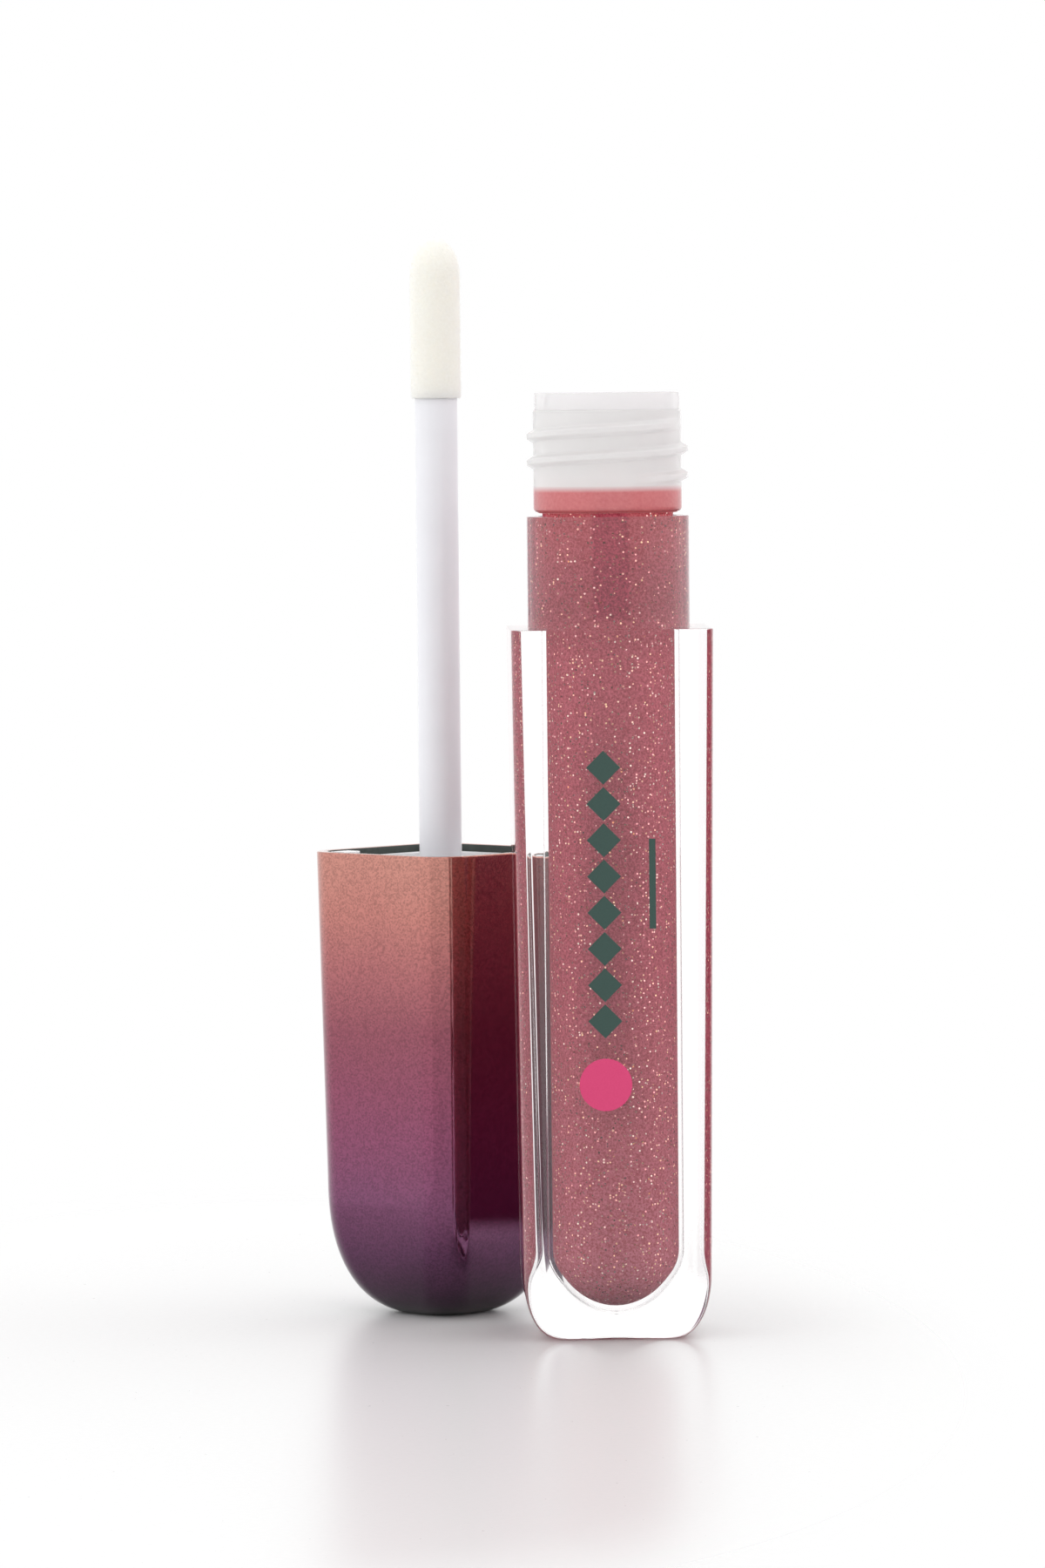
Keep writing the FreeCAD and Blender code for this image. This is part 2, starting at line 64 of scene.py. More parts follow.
# radii of the rings that carry the shoulder in to the collar, and how square they stay
SHOULDER_RINGS = (8.6, 8.0)
SHOULDER_PULL = 0.5
# an end's curve is followed this far round, short of where it would lie flat
END_TURN = math.radians(80)

CHAMBER_FLOOR = 3.4
DOME_HEIGHT = 4.6
CHAMBER_RADIUS = 5.88
MOUTH_RADIUS = 6.0
CHAMBER_WALL = 0.4
NECK_RADIUS = 6.8
NECK_FOOT = 75.6
NECK_TOP = 84.9
NECK_ROUND = 0.35
# the chamber's wall is followed this far above the collar before the neck begins
WALL_ABOVE = 0.3
GLOSS_LEVEL = 77.4
GLOSS_RIM = 0.5
# the painted shade of a darker column where the wiper's tube sits in the gloss: half its width, and
# its lower end
COLUMN_HALF = 1.55
COLUMN_FOOT = 65.5
# how deep the gloss and the inner bottle run into the wall that they touch
CONTACT = 0.02

THREAD_PITCH = 2.4
THREAD_REACH = 0.6
THREAD_BASE = 1.15
THREAD_TIP = 0.45
THREAD_LEVEL = 78.93
THREAD_START = -80.5
THREAD_TURNS = 2.2
THREAD_RUNOUT = 0.16
THREAD_RING_STEP = 0.08

CAP_YAW = 44.7
CAP_HEIGHT = 43.6
CROWN_HALF = 8.715
CROWN_HEIGHT = 13.0
CROWN_INSET = 4.9
CROWN_POWER = 2.4
CAVITY_HALF = 8.2
CAVITY_CORNER = 2.4
LEDGE = 20.0
POCKET_HALF = 6.5
POCKET_FLOOR = 5.2

TIP_ROUND = 3.5
TIP_FOOT_ROUND = 0.2
# the flock's fibres: how far the longest stand out, their number and their lengths as shares of
# that, half their thickness, how deep they root, how much they lean, and the random seed
PILE = 0.16
FIBRES = 12000
FIBRE_SHORTEST = 0.55
FIBRE_LONGEST = 0.98
FIBRE_HALF = 0.014
FIBRE_ROOT = 0.05
FIBRE_LEAN = 0.28
FIBRE_SEED = 11

FLAT_STEPS = 24
CORNER_STEPS = 16
ROUND_STEPS = 160


# ---------------------------------------------------------------- mesh helpers


def rounded_square(half, corner, level):
    """A level ring round a rounded square, from the middle of its +X side."""
    points = []
    for quarter in range(4):
        reach = half - corner
        side = [(half, reach * step / (FLAT_STEPS / 2)) for step in range(FLAT_STEPS // 2)]
        arc = []
        for step in range(CORNER_STEPS):
            angle = math.pi / 2 * step / CORNER_STEPS
            arc.append((reach + corner * math.cos(angle), reach + corner * math.sin(angle)))
        back = [(reach * (1 - step / (FLAT_STEPS / 2)), half) for step in range(FLAT_STEPS // 2)]
        turned = np.array(side + arc + back)
        for _ in range(quarter):
            turned = np.column_stack([-turned[:, 1], turned[:, 0]])
        points.append(turned)
    flat = np.vstack(points)
    return np.column_stack([flat, np.full(len(flat), level)])


def circle_inside(outline, radius, level):
    """A round ring whose points lie in the same directions as an outline's."""
    flat = outline[:, :2] / np.linalg.norm(outline[:, :2], axis=1)[:, None]
    return np.column_stack([flat * radius, np.full(len(flat), level)])


def circle(radius, level):
    angles = np.linspace(0, 2 * math.pi, ROUND_STEPS, endpoint=False)
    return np.column_stack([radius * np.cos(angles), radius * np.sin(angles),
                            np.full(ROUND_STEPS, level)])


def lattice(name, rings):
    """A closed mesh through rings of equal count, with a fan over the first and the last ring."""
    count = len(rings[0])
    points = np.vstack(rings + [rings[0].mean(0), rings[-1].mean(0)])
    faces = []
    for level in range(len(rings) - 1):
        low = level * count
        for step in range(count):
            after = (step + 1) % count
            faces.append((low + step, low + after, low + count + after, low + count + step))
    first = len(points) - 2
    top = (len(rings) - 1) * count
    for step in range(count):
        after = (step + 1) % count
        faces.append((first, after, step))
        faces.append((top + step, top + after, first + 1))
    mesh = bpy.data.meshes.new(name)
    mesh.from_pydata((points * MM).tolist(), [], faces)
    mesh.shade_smooth()
    piece = bpy.data.objects.new(name, mesh)
    bpy.context.collection.objects.link(piece)
    # the large faces keep their own direction beside the small rounded edges
    smoothing = piece.modifiers.new("smoothing", "WEIGHTED_NORMAL")
    smoothing.mode = "FACE_AREA"
    smoothing.weight = 100
    return piece


def quarter_turns(steps):
    """Angles from just past 0 to 90 degrees."""
    return [math.pi / 2 * step / steps for step in range(1, steps + 1)]


def superellipse_end(half, corner, height, inset, power, steps=14):
    """Rings of a rounded square end, from its flat underside out and up to where it springs."""
    rings = []
    for step in range(steps, 0, -1):
        turn = END_TURN * step / steps
        drop = (math.sin(turn) / math.sin(END_TURN)) ** (2 / power)
        draw = (1 - math.cos(turn) ** (2 / power)) / (1 - math.cos(END_TURN) ** (2 / power))
        rings.append(rounded_square(half - inset * draw, corner, height * (1 - drop)))
    return rings


def chamber_radius(level):
    """The chamber's radius above its dome."""
    spring = CHAMBER_FLOOR + DOME_HEIGHT
    rise = (level - spring) / (NECK_TOP - spring)
    return CHAMBER_RADIUS + (MOUTH_RADIUS - CHAMBER_RADIUS) * rise


def dome_profile(grow, steps=18):
    """(radius, level) from the chamber's lowest point up to the dome's spring."""
    spring = CHAMBER_FLOOR + DOME_HEIGHT
    profile = []
    for step in range(steps + 1):
        turn = math.pi / 2 * (step + 0.3) / (steps + 0.3)
        profile.append(((CHAMBER_RADIUS + grow) * math.sin(turn),
                        spring - (DOME_HEIGHT + grow) * math.cos(turn)))
    return profile


def chamber_profile(grow, top, steps=12):
    """(radius, level) from the chamber's lowest point up its wall to a level."""
    spring = CHAMBER_FLOOR + DOME_HEIGHT
    profile = dome_profile(grow)
    for step in range(1, steps + 1):
        level = spring + (top - spring) * step / steps
        profile.append((chamber_radius(level) + grow, level))
    return profile


# ---------------------------------------------------------------- bottle meshes


def make_outer_body():
    rings = superellipse_end(FOOT_HALF, BODY_CORNER, FOOT_HEIGHT, FOOT_INSET, FOOT_POWER)
    for step in range(9):
        rise = step / 8
        half = FOOT_HALF + (POST_HALF - FOOT_HALF) * rise
        level = FOOT_HEIGHT + (SHOULDER - EDGE - FOOT_HEIGHT) * rise
        rings.append(rounded_square(half, BODY_CORNER, level))
    for turn in quarter_turns(4):
        rings.append(rounded_square(POST_HALF - EDGE * (1 - math.cos(turn)), BODY_CORNER,
                                    SHOULDER - EDGE * (1 - math.sin(turn))))
    guide = rounded_square(POST_HALF, BODY_CORNER, 0)
    for radius in (*SHOULDER_RINGS, COLLAR_RADIUS + EDGE):
        blend = (radius - COLLAR_RADIUS) / (POST_HALF - COLLAR_RADIUS)
        inner = circle_inside(guide, radius, SHOULDER)
        outer = rounded_square(POST_HALF - EDGE, BODY_CORNER, SHOULDER)
        rings.append(inner + (outer - inner) * blend ** 2 * SHOULDER_PULL)
    for turn in quarter_turns(3):
        rings.append(circle_inside(guide, COLLAR_RADIUS + EDGE * (1 - math.sin(turn)),
                                   SHOULDER + EDGE * (1 - math.cos(turn))))
    for step in range(1, 6):
        level = SHOULDER + EDGE + (COLLAR_TOP - SHOULDER - 2 * EDGE) * step / 5
        rings.append(circle_inside(guide, COLLAR_RADIUS, level))
    for turn in quarter_turns(4):
        rings.append(circle_inside(guide, COLLAR_RADIUS - EDGE * (1 - math.cos(turn)),
                                   COLLAR_TOP - EDGE * (1 - math.sin(turn))))
    cavity = len(rings)
    for radius, level in reversed(chamber_profile(CHAMBER_WALL, COLLAR_TOP)):
        rings.append(circle_inside(guide, radius, level))
    body = lattice("clear_body", rings)
    for face in body.data.polygons:
        if min(face.vertices) >= cavity * ROUND_STEPS:
            face.material_index = 1
    return body


def thread_height(angle, level):
    """How far the neck's thread stands out at an angle and a level."""
    height = 0.0
    for turn in range(-1, 3):
        along = angle + 360 * turn
        passed = (along - THREAD_START) / 360
        fade = min(1.0, passed / THREAD_RUNOUT, (THREAD_TURNS - passed) / THREAD_RUNOUT)
        if fade <= 0:
            continue
        fade = fade * fade * (3 - 2 * fade)
        away = abs(level - THREAD_LEVEL - THREAD_PITCH * along / 360)
        slope = (THREAD_BASE / 2 - away) / (THREAD_BASE / 2 - THREAD_TIP / 2)
        height = max(height, THREAD_REACH * fade * min(1.0, max(0.0, slope)))
    return height


def make_inner_bottle():
    rings = [circle(radius + CONTACT, level)
             for radius, level in chamber_profile(CHAMBER_WALL, COLLAR_TOP + WALL_ABOVE)]
    wall = rings[-1][:, :2][0][0]
    rings.append(circle(wall, NECK_FOOT))
    rings.append(circle(NECK_RADIUS - NECK_ROUND, NECK_FOOT))
    for turn in quarter_turns(5):
        rings.append(circle(NECK_RADIUS - NECK_ROUND * (1 - math.sin(turn)),
                            NECK_FOOT + NECK_ROUND * (1 - math.cos(turn))))
    levels = np.arange(NECK_FOOT + NECK_ROUND + THREAD_RING_STEP, NECK_TOP - EDGE,
                       THREAD_RING_STEP)
    for level in levels:
        ring = circle(NECK_RADIUS, level)
        for point in ring:
            angle = math.degrees(math.atan2(point[1], point[0]))
            point[:2] *= 1 + thread_height(angle, level) / NECK_RADIUS
        rings.append(ring)
    for turn in quarter_turns(3):
        rings.append(circle(NECK_RADIUS - EDGE * (1 - math.cos(turn)),
                            NECK_TOP - EDGE * (1 - math.sin(turn))))
    for radius, level in reversed(chamber_profile(0, NECK_TOP)):
        rings.append(circle(radius, level))
    vial = lattice("vial", rings)
    for face in vial.data.polygons:
        if face.center.z < COLLAR_TOP * MM:
            face.material_index = 1
    return vial


def make_gloss():
    rings = [circle(radius, level) for radius, level in chamber_profile(CONTACT, GLOSS_LEVEL, 16)]
    rings.append(circle(rings[-1][0][0] - GLOSS_RIM, GLOSS_LEVEL))
    return lattice("gloss", rings)


# ---------------------------------------------------------------- cap meshes


def make_cap_shell():
    rings = superellipse_end(CROWN_HALF, CAP_CORNER, CROWN_HEIGHT, CROWN_INSET, CROWN_POWER, 22)
    for step in range(9):
        rise = step / 8
        rings.append(rounded_square(CROWN_HALF + (POST_HALF - CROWN_HALF) * rise, CAP_CORNER,
                                    CROWN_HEIGHT + (CAP_HEIGHT - EDGE - CROWN_HEIGHT) * rise))
    for turn in quarter_turns(3):
        rings.append(rounded_square(POST_HALF - EDGE * (1 - math.cos(turn)), CAP_CORNER,
                                    CAP_HEIGHT - EDGE * (1 - math.sin(turn))))
    outside = len(rings)
    for turn in quarter_turns(3):
        rings.append(rounded_square(CAVITY_HALF + EDGE * (1 - math.sin(turn)), CAVITY_CORNER,
                                    CAP_HEIGHT - EDGE * (1 - math.cos(turn))))
    for level in (CAP_HEIGHT - 1, LEDGE + EDGE, LEDGE):
        rings.append(rounded_square(CAVITY_HALF, CAVITY_CORNER, level))
    for level in (LEDGE, LEDGE - EDGE, POCKET_FLOOR + EDGE, POCKET_FLOOR):
        rings.append(rounded_square(POCKET_HALF, CAVITY_CORNER, level))
    shell = lattice("cap_coated_shell", rings)
    inside_from = outside * len(rings[0])
    for face in shell.data.polygons:
        if min(face.vertices) >= inside_from:
            face.material_index = 1
    return shell


def tip_profile(radius, foot, top, rounding):
    """(radius, level) of the applicator tip, from its foot up to where its dome nearly closes."""
    profile = [(radius - rounding, foot)]
    for turn in quarter_turns(4):
        profile.append((radius - rounding * (1 - math.sin(turn)),
                        foot + rounding * (1 - math.cos(turn))))
    spring = top - TIP_ROUND
    for step in range(1, 13):
        profile.append((radius, foot + rounding + (spring - foot - rounding) * step / 12))
    for step in range(1, 17):
        turn = math.pi / 2 * step / 16.3
        profile.append((radius * math.cos(turn), spring + TIP_ROUND * math.sin(turn)))
    return profile


def make_pile(radius, foot, top):
    """Short fibres that stand out of the flocked tip, each a slim closed spike."""
    rng = np.random.default_rng(FIBRE_SEED)
    profile = np.array(tip_profile(radius - PILE, foot, top - PILE, TIP_FOOT_ROUND))
    steps = np.diff(profile, axis=0)
    area = np.hypot(steps[:, 0], steps[:, 1]) * (profile[1:, 0] + profile[:-1, 0])
    spans = rng.choice(len(steps), FIBRES, p=area / area.sum())
    along = rng.random(FIBRES)
    place = profile[spans] + steps[spans] * along[:, None]
    slope = steps[spans] / np.linalg.norm(steps[spans], axis=1)[:, None]
    angle = rng.random(FIBRES) * 2 * math.pi
    around = np.column_stack([np.cos(angle), np.sin(angle), np.zeros(FIBRES)])
    root = around * place[:, :1]
    root[:, 2] = place[:, 1]
    out = around * slope[:, 1:]
    out[:, 2] = -slope[:, 0]
    lean = rng.normal(0, FIBRE_LEAN, (FIBRES, 3))
    way = out + lean
    way /= np.linalg.norm(way, axis=1)[:, None]
    length = PILE * rng.uniform(FIBRE_SHORTEST, FIBRE_LONGEST, FIBRES)
    side = np.cross(way, rng.normal(size=(FIBRES, 3)))
    side /= np.linalg.norm(side, axis=1)[:, None]
    other = np.cross(way, side)
    foot_centre = root - FIBRE_ROOT * way
    corners = []
    for turn in (0, 2 * math.pi / 3, 4 * math.pi / 3):
        corners.append(foot_centre + FIBRE_HALF * (side * math.cos(turn) + other * math.sin(turn)))
    tips = root + way * length[:, None]
    points = np.concatenate(corners + [tips])
    faces = []
    for fibre in range(FIBRES):
        one, two, three, tip = (fibre + FIBRES * row for row in range(4))
        faces += [(one, three, two), (one, two, tip), (two, three, tip), (three, one, tip)]
    mesh = bpy.data.meshes.new("tip_pile")
    mesh.from_pydata((points * MM).tolist(), [], faces)
    piece = bpy.data.objects.new("tip_pile", mesh)
    bpy.context.collection.objects.link(piece)
    return piece


def stand_as_cap(piece):
    """Moves a mesh made about its own axis to where the cap stands."""
    low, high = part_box("wand_stem")
    axis = (low + high) / 2
    place = Matrix.Translation((axis.x, axis.y, 0)) @ Matrix.Rotation(math.radians(CAP_YAW), 4, "Z")
    piece.data.transform(place)
    return piece


# ---------------------------------------------------------------- material helpers


def colour(red, green, blue):
    """A display colour, 0 to 255, as the linear colour that a shader takes."""
    linear = []
    for value in (red, green, blue):
        share = value / 255
        linear.append(share / 12.92 if share <= 0.04045 else ((share + 0.055) / 1.055) ** 2.4)
    return (*linear, 1.0)


def new_material(name):
    material = bpy.data.materials.new(name)
    material.use_nodes = True
    tree = material.node_tree
    return material, tree, tree.nodes["Principled BSDF"]


def make(tree, kind, **settings):
    """A node; each setting is an input, given a value or a link, or a property of the node."""
    node = tree.nodes.new("ShaderNode" + kind)
    for key, value in settings.items():
        name = key.replace("_", " ")
        if name not in node.inputs:
            setattr(node, key, value)
        elif isinstance(value, bpy.types.NodeSocket):
            tree.links.new(value, node.inputs[name])
        else:
            node.inputs[name].default_value = value
    return node


def put(tree, socket, value):
    """Links a value to a socket, or sets it there when it is a plain one."""
    if isinstance(value, bpy.types.NodeSocket):
        tree.links.new(value, socket)
    else:
        socket.default_value = value


def calc(tree, operation, first, second=0.0):
    """The number that a calculation gives."""
    node = tree.nodes.new("ShaderNodeMath")
    node.operation = operation
    put(tree, node.inputs[0], first)
    put(tree, node.inputs[1], second)
    return node.outputs[0]


def mix(tree, factor, first, second, blend="MIX"):
    """A colour between two, by a factor."""
    node = tree.nodes.new("ShaderNodeMix")
    node.data_type = "RGBA"
    node.blend_type = blend
    put(tree, node.inputs["Factor"], factor)
    put(tree, node.inputs[6], first)
    put(tree, node.inputs[7], second)
    return node.outputs[2]


def mix_value(tree, factor, first, second):
    """A number between two, by a factor."""
    return calc(tree, "ADD", first, calc(tree, "MULTIPLY", factor, second - first))


def spread(tree, value, low, high, first=0.0, last=1.0, curve="LINEAR"):
    """A number that goes from first to last as a value goes from low to high."""
    node = make(tree, "MapRange", Value=value, interpolation_type=curve)
    for name, limit in (("From Min", low), ("From Max", high), ("To Min", first), ("To Max", last)):
        node.inputs[name].default_value = limit
    return node.outputs["Result"]


def vector(tree, operation, *values):
    """The vector that a vector calculation gives."""
    node = make(tree, "VectorMath", operation=operation)
    for socket, value in zip(node.inputs, values):
        put(tree, socket, value)
    return node


def ramp(tree, factor, *stops):
    """A colour ramp through (position, colour) stops."""
    node = tree.nodes.new("ShaderNodeValToRGB")
    put(tree, node.inputs[0], factor)
    elements = node.color_ramp.elements
    while len(elements) < len(stops):
        elements.new(0.5)
    for element, (position, value) in zip(elements, stops):
        element.position = position
        element.color = value
    return node.outputs["Color"]


def grey(value):
    return (value, value, value, 1.0)


def place_in(tree):
    """Object coordinates in metres: the frame's own, except on the floor, which is moved."""
    return make(tree, "TexCoord").outputs["Object"]


def height_share(tree, coordinates, low, high):
    """0 at one height and 1 at another, both in millimetres."""
    split = make(tree, "SeparateXYZ", Vector=coordinates)
    return spread(tree, split.outputs["Z"], low * MM, high * MM)


def noise(tree, coordinates, grain, detail=2.0, roughness=0.5):
    """Noise whose features are about grain millimetres across."""
    return make(tree, "TexNoise", Vector=coordinates, Scale=1 / (grain * MM), Detail=detail,
                Roughness=roughness).outputs["Fac"]


def bump(tree, shader, height, depth, strength=0.5):
    """Bumps depth millimetres deep."""
    node = make(tree, "Bump", Height=height, Strength=strength, Distance=depth * MM)
    tree.links.new(node.outputs["Normal"], shader.inputs["Normal"])


def finish_shader(shader, **values):
    for key, value in values.items():
        put(shader.id_data, shader.inputs[key.replace("_", " ")], value)


# ---------------------------------------------------------------- materials


CLEAR_INDEX = 1.57
PP_INDEX = 1.49
WIPER_INDEX = 1.2
LACQUER_INDEX = 1.5
# of the walls where two clear plastics touch, one against the other
BONDED_INDEX = 1.02
EQUAL_INDEX = 1.0
GLOSS_INDEX = 1.05

# flakes in the gloss: cell size in mm, the share of cells with no flake, a flake's reach in its
# cell, and how much it leans
FLAKE_CELL = 0.27
FLAKE_FREE = 0.62
FLAKE_REACH = 0.34
FLAKE_LEAN = 1.2
LACQUER_CELL = 0.15
# the painted shade of the wiper's tube column: the width of its soft edge, how far it fades in at
# its foot, and its strength
COLUMN_BLUR = 0.15
COLUMN_FADE = 0.8
COLUMN_STRENGTH = 0.42


def clear_plastic():
    """Water clear and polished, with faint smears."""
    material, tree, shader = new_material("clear_body_plastic")
    where = place_in(tree)
    smear = noise(tree, where, 6.0, 3.0)
    finish_shader(shader, Base_Color=(0.995, 0.985, 0.985, 1),
                  Roughness=spread(tree, smear, 0.5, 0.8, 0.0, 0.03), IOR=CLEAR_INDEX,
                  Transmission_Weight=1.0)
    bump(tree, shader, noise(tree, where, 9.0), 0.02, 0.2)
    return material


def bonded_wall(name, index):
    """A clear wall that touches another clear plastic, with their relative index of refraction."""
    material, tree, shader = new_material(name)
    where = place_in(tree)
    haze = noise(tree, where, 3.0)
    finish_shader(shader, Base_Color=mix(tree, haze, grey(1.0), grey(0.99)), Roughness=0.0,
                  IOR=index, Transmission_Weight=1.0)
    return material


def natural_plastic():
    """Milky and translucent, and pink as far up as the gloss wets it."""
    material, tree, shader = new_material("vial_natural_plastic")
    where = place_in(tree)
    cloud = noise(tree, where, 1.5, 3.0)
    milk = mix(tree, cloud, colour(255, 254, 253), colour(252, 250, 250))
    wet = height_share(tree, where, GLOSS_LEVEL + 0.6, GLOSS_LEVEL)
    pearl = mix(tree, noise(tree, where, 0.3), colour(218, 118, 124), colour(242, 152, 152))
    finish_shader(shader, IOR=PP_INDEX, Base_Color=mix(tree, wet, milk, pearl),
                  Roughness=mix_value(tree, cloud, 0.16, 0.26), Transmission_Weight=0.42)
    bump(tree, shader, noise(tree, where, 0.5), 0.01, 0.2)
    return material


def painted_tube_shade(tree, where):
    """How strongly a darker column of painted shade shows in the gloss inside the collar, where the
    wiper's tube sits.
    """
    split = make(tree, "SeparateXYZ", Vector=where)
    near = calc(tree, "MINIMUM", calc(tree, "ABSOLUTE", split.outputs["X"]),
                calc(tree, "ABSOLUTE", split.outputs["Y"]))
    beside = spread(tree, near, (COLUMN_HALF + COLUMN_BLUR) * MM, (COLUMN_HALF - COLUMN_BLUR) * MM)
    above = height_share(tree, where, COLUMN_FOOT, COLUMN_FOOT + COLUMN_FADE)
    return calc(tree, "MULTIPLY", calc(tree, "MULTIPLY", beside, above), COLUMN_STRENGTH)


def tilted_flakes(tree, flakes, flake):
    """The surface's direction, with each flake lying its own way to catch the light."""
    lean = vector(tree, "MULTIPLY_ADD", flakes.outputs["Color"], (FLAKE_LEAN,) * 3,
                  (-FLAKE_LEAN / 2,) * 3)
    tilt = make(tree, "VectorMath", operation="SCALE", Scale=flake)
    tree.links.new(lean.outputs["Vector"], tilt.inputs[0])
    normal = make(tree, "NewGeometry").outputs["Normal"]
    facing = vector(tree, "ADD", normal, tilt.outputs["Vector"])
    return vector(tree, "NORMALIZE", facing.outputs["Vector"]).outputs["Vector"]


def pearl_gloss():
    """Rose gloss with a pearly grain and bright flakes, paler low down and warmer at its level."""
    material, tree, shader = new_material("gloss_pearl")
    where = place_in(tree)
    streaks = make(tree, "Mapping", Vector=where, Scale=(1.0, 1.0, 0.35)).outputs["Vector"]
    cloud = noise(tree, streaks, 4.0, 4.0)
    body = mix(tree, cloud, colour(196, 92, 110), colour(214, 112, 126))
    up = height_share(tree, where, CHAMBER_FLOOR, GLOSS_LEVEL)
    tone = ramp(tree, up, (0.0, colour(222, 140, 154)), (0.15, colour(216, 122, 136)),
                (0.4, colour(204, 100, 115)), (0.9, colour(208, 106, 118)),
                (0.97, colour(226, 112, 118)), (1.0, colour(238, 128, 126)))
    body = mix(tree, 0.65, body, tone)
    # painted shade: a darker rose column where the wiper's tube sits inside the gloss
    body = mix(tree, painted_tube_shade(tree, where), body, colour(176, 44, 84))
    shimmer = noise(tree, where, 0.22, 2.0, 0.8)
    body = mix(tree, 0.6, body, ramp(tree, shimmer, (0.38, grey(0.18)), (0.62, grey(0.78))),
               "OVERLAY")
    flakes = make(tree, "TexVoronoi", Vector=where, Scale=1 / (FLAKE_CELL * MM))
    pick = make(tree, "SeparateColor", Color=flakes.outputs["Color"])
    rare = calc(tree, "GREATER_THAN", pick.outputs["Red"], FLAKE_FREE)
    small = calc(tree, "LESS_THAN", flakes.outputs["Distance"], FLAKE_REACH)
    flake = calc(tree, "MULTIPLY", rare, small)
    glint = ramp(tree, pick.outputs["Green"], (0.0, colour(255, 214, 172)),
                 (0.35, colour(255, 176, 178)), (0.7, colour(255, 238, 222)),
                 (1.0, colour(252, 168, 120)))
    finish_shader(shader, Base_Color=mix(tree, flake, body, glint), IOR=GLOSS_INDEX,
                  Roughness=mix_value(tree, flake, 0.45, 0.25), Metallic=flake,
                  Normal=tilted_flakes(tree, flakes, flake))
    return material


def moulded_white(name, tint, shadow, grain, roughness, subsurface, depth):
    """White plastic into which light sinks to a depth in millimetres."""
    material, tree, shader = new_material(name)
    where = place_in(tree)
    cloud = noise(tree, where, 3.0, 3.0)
    finish_shader(shader, Base_Color=mix(tree, cloud, tint, shadow),
                  Roughness=mix_value(tree, cloud, roughness, roughness + 0.12), IOR=PP_INDEX,
                  Subsurface_Weight=subsurface, Subsurface_Radius=(1.0, 1.0, 1.0),
                  Subsurface_Scale=depth * MM)
    bump(tree, shader, noise(tree, where, grain), 0.02, 0.3)
    return material


def wiper_plastic():
    """Soft and cloudy, so clear that the gloss shows through it."""
    material, tree, shader = new_material("wiper_soft_plastic")
    where = place_in(tree)
    cloud = noise(tree, where, 1.5, 3.0)
    finish_shader(shader, Base_Color=mix(tree, cloud, colour(255, 254, 254), colour(252, 250, 251)),
                  Roughness=mix_value(tree, cloud, 0.12, 0.22), IOR=WIPER_INDEX,
                  Transmission_Weight=0.6)
    bump(tree, shader, noise(tree, where, 0.4), 0.01, 0.3)
    return material


def print_ink(name, tint, worn):
    """Ink of a fine grain, between its own colour and a worn one."""
    material, tree, shader = new_material(name)
    where = place_in(tree)
    speckle = noise(tree, where, 0.15, 2.0)
    finish_shader(shader, Base_Color=mix(tree, speckle, tint, worn),
                  Roughness=mix_value(tree, speckle, 0.35, 0.5))
    bump(tree, shader, speckle, 0.004, 0.3)
    return material


def cap_coating():
    """Copper that fades through rose and plum to nearly black at the closed end."""
    material, tree, shader = new_material("cap_lacquer")
    where = place_in(tree)
    drift = calc(tree, "MULTIPLY", calc(tree, "SUBTRACT", noise(tree, where, 8.0), 0.5), 0.06)
    up = calc(tree, "ADD", height_share(tree, where, 0.0, CAP_HEIGHT), drift)
    tone = ramp(tree, up, (0.0, colour(45, 28, 44)), (0.137, colour(95, 52, 86)),
                (0.25, colour(119, 66, 100)), (0.38, colour(133, 68, 99)),
                (0.5, colour(138, 70, 94)), (0.62, colour(143, 76, 91)),
                (0.75, colour(168, 99, 102)), (0.87, colour(186, 119, 111)),
                (1.0, colour(195, 134, 121)))
    flakes = make(tree, "TexVoronoi", Vector=where, Scale=1 / (LACQUER_CELL * MM))
    pick = make(tree, "SeparateColor", Color=flakes.outputs["Color"])
    grain = ramp(tree, pick.outputs["Red"], (0.0, grey(0.66)), (0.8, grey(1.0)),
                 (1.0, grey(1.0)))
    finish_shader(shader, Base_Color=mix(tree, 1.0, tone, grain, "MULTIPLY"), Metallic=0.9,
                  Roughness=mix_value(tree, pick.outputs["Green"], 0.07, 0.13),
                  Coat_Weight=0.3, Coat_Roughness=0.03, Coat_IOR=LACQUER_INDEX)
    return material


def mouth_inside():
    """The dark, bare metal inside of the cap."""
    material, tree, shader = new_material("cap_mouth_inside")
    where = place_in(tree)
    cloud = noise(tree, where, 1.0, 4.0)
    finish_shader(shader, Base_Color=mix(tree, cloud, colour(40, 46, 44), colour(70, 76, 72)),
                  Metallic=0.5, Roughness=mix_value(tree, cloud, 0.35, 0.5))
    bump(tree, shader, noise(tree, where, 0.2), 0.01, 0.3)
    return material


def seal_foam():
    """Pale foam with fine cells."""
    material, tree, shader = new_material("seal_foam")
    where = place_in(tree)
    cells = make(tree, "TexVoronoi", Vector=where, Scale=1 / (0.2 * MM)).outputs["Distance"]
    finish_shader(shader, Base_Color=mix(tree, cells, colour(232, 230, 226), colour(210, 208, 204)),
                  Roughness=mix_value(tree, cells, 0.6, 0.8))
    bump(tree, shader, cells, 0.02, 0.4)
    return material


def flock(name, tint, shadow):
    """Soft tufts that light sinks into."""
    material, tree, shader = new_material(name)
    where = place_in(tree)
    tufts = noise(tree, where, 0.25, 3.0)
    finish_shader(shader, Base_Color=mix(tree, tufts, shadow, tint), Roughness=0.85,
                  Sheen_Weight=0.2, Sheen_Roughness=0.5, Subsurface_Weight=0.9,
                  Subsurface_Radius=(1.0, 0.95, 0.88), Subsurface_Scale=2.5 * MM)
    bump(tree, shader, tufts, 0.08, 0.6)
    return material


